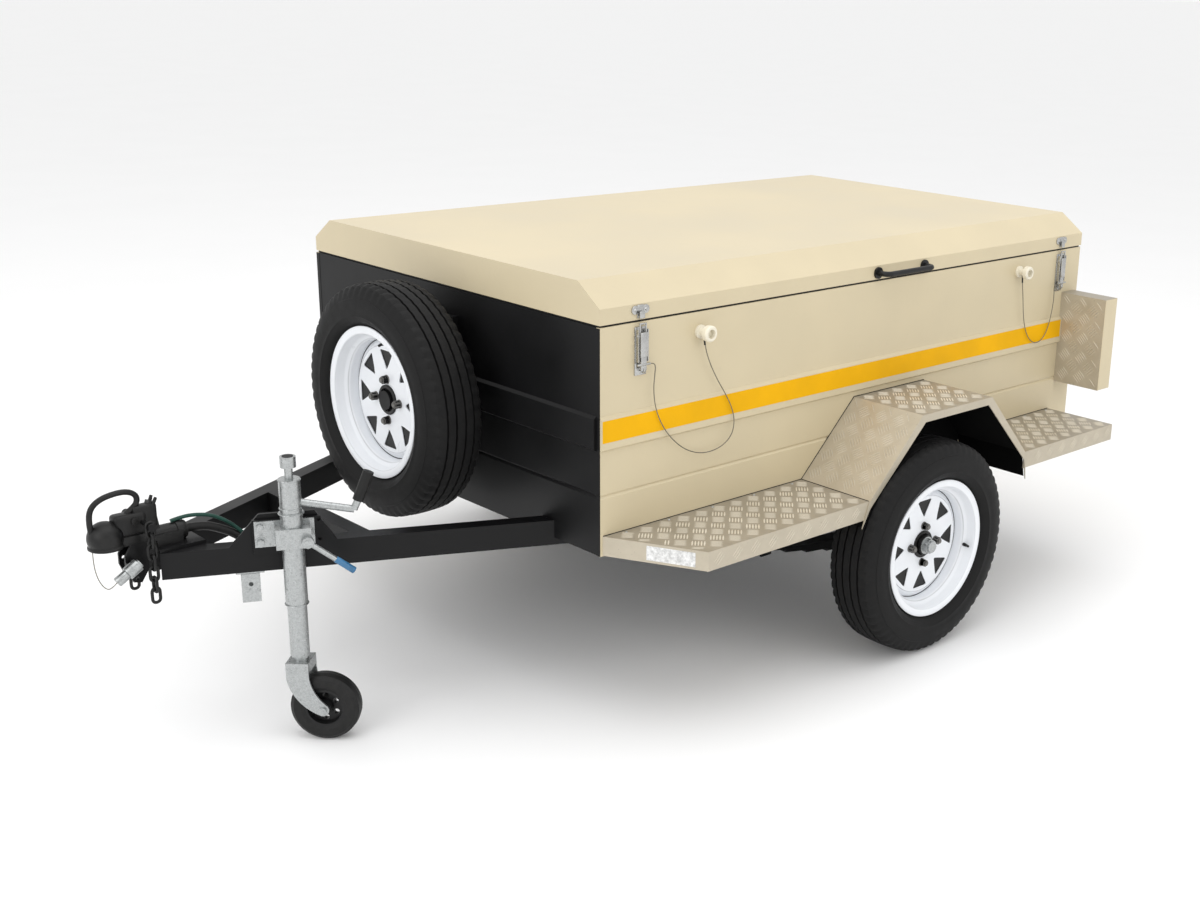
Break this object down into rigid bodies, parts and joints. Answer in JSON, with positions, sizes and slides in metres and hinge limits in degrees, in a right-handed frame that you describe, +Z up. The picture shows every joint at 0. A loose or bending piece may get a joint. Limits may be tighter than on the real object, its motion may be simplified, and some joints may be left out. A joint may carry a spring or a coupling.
{
  "type": "luggage trailer",
  "caption": "Box luggage trailer with a hinged lid, drop tailgate, tread plate running boards, A-frame drawbar, ball coupling, spare wheel and jockey stand.",
  "frame": {"origin": "on the ground, below the middle of the outline", "axes": "+X forward to the coupling, +Y to the left, +Z up"},
  "size_m": [2.753, 1.712, 1.028],
  "materials": {
    "black_paint": "satin black frame paint",
    "beige_paint": "satin beige body paint",
    "tread_plate": "raised tread plate",
    "zinc_steel": "zinc plated steel",
    "white_rim": "white wheel enamel",
    "tyre_rubber": "black tyre rubber",
    "black_rubber": "soft black rubber",
    "black_plastic": "black moulded plastic",
    "cream_plastic": "cream moulded knob",
    "lamp_lens": "ribbed lamp lens",
    "cast_black": "black cast coupling",
    "green_sheath": "green cable sheath",
    "wire_steel": "twisted steel wire"
  },
  "bodies": {
    "trailer": {"drawbar_rails": "black_paint", "drawbar_crossmembers": "black_paint", "chain_bracket": "black_paint", "jack_bracket": "black_paint", "chassis_frame": "black_paint", "floor_pan": "black_paint", "front_panel": "black_paint", "arch_liners": "black_paint", "axle_beam": "black_paint", "leaf_springs": "black_paint", "spring_hangers": "black_paint", "spare_carrier": "black_paint", "side_panel_left": "beige_paint", "side_panel_right": "beige_paint", "corner_posts": "beige_paint", "front_boards": "tread_plate", "rear_boards": "tread_plate", "mudguards": "tread_plate", "lamp_housings": "tread_plate", "lock_pin": "zinc_steel", "jack_clamp": "zinc_steel", "jack_clamp_lever": "zinc_steel", "prop_socket": "zinc_steel", "latches": "zinc_steel", "body_hinges": "zinc_steel", "gate_hinges": "zinc_steel", "spare_rim": "white_rim", "spare_tyre": "tyre_rubber", "brake_hose": "black_rubber", "tie_knobs": "cream_plastic", "tail_lamps": "lamp_lens", "coupler_body": "cast_black", "coupler_handle": "cast_black", "safety_chains": "cast_black", "wiring_cable": "green_sheath", "lanyard_front": "wire_steel", "lanyard_rear": "wire_steel", "pin_lanyard": "wire_steel"},
    "lid": {"lid_shell": "beige_paint", "lid_handle": "black_plastic", "latch_keepers": "zinc_steel", "lid_hinges": "zinc_steel"},
    "tailgate": {"tailgate_panel": "beige_paint", "tailgate_latches": "zinc_steel"},
    "wheel_left": {"left_tyre": "tyre_rubber", "left_rim": "white_rim", "left_hub": "zinc_steel"},
    "wheel_right": {"right_tyre": "tyre_rubber", "right_rim": "white_rim", "right_hub": "zinc_steel"},
    "jack_outer": {"jack_outer_tube": "zinc_steel", "jack_crank": "zinc_steel", "jack_crank_grip": "black_rubber"},
    "jack_inner": {"jack_inner_tube": "zinc_steel"},
    "caster": {"caster_fork": "zinc_steel"},
    "jockey_wheel": {"jockey_tyre": "black_rubber", "jockey_rim": "black_plastic"}
  },
  "joints": [
    {"name": "wheel_left_spin", "type": "hinge", "parent": "trailer", "child": "wheel_left", "pos_m": [-0.4265, 0.78, 0.281], "axis": [0, 1, 0], "continuous": true},
    {"name": "wheel_right_spin", "type": "hinge", "parent": "trailer", "child": "wheel_right", "pos_m": [-0.4265, -0.78, 0.281], "axis": [0, 1, 0], "continuous": true},
    {"name": "lid_hinge", "type": "hinge", "parent": "trailer", "child": "lid", "pos_m": [-0.44, -0.596, 0.938], "axis": [1, 0, 0], "range_deg": [0, 80]},
    {"name": "tailgate_hinge", "type": "hinge", "parent": "trailer", "child": "tailgate", "pos_m": [-1.3685, 0, 0.427], "axis": [0, -1, 0], "range_deg": [0, 90]},
    {"name": "jack_clamp_slide", "type": "slide", "parent": "trailer", "child": "jack_outer", "axis": [0, 0, 1], "range_m": [0, 0.095]},
    {"name": "jack_screw_slide", "type": "slide", "parent": "jack_outer", "child": "jack_inner", "axis": [0, 0, 1], "range_m": [-0.05, 0.065]},
    {"name": "caster_swivel", "type": "hinge", "parent": "jack_inner", "child": "caster", "pos_m": [1.01659, 0.19649, 0.19], "axis": [0, 0, 1], "continuous": true},
    {"name": "jockey_spin", "type": "hinge", "parent": "caster", "child": "jockey_wheel", "pos_m": [0.98018, 0.23362, 0.078], "axis": [0.7141, 0.7001, 0], "continuous": true}
  ]
}
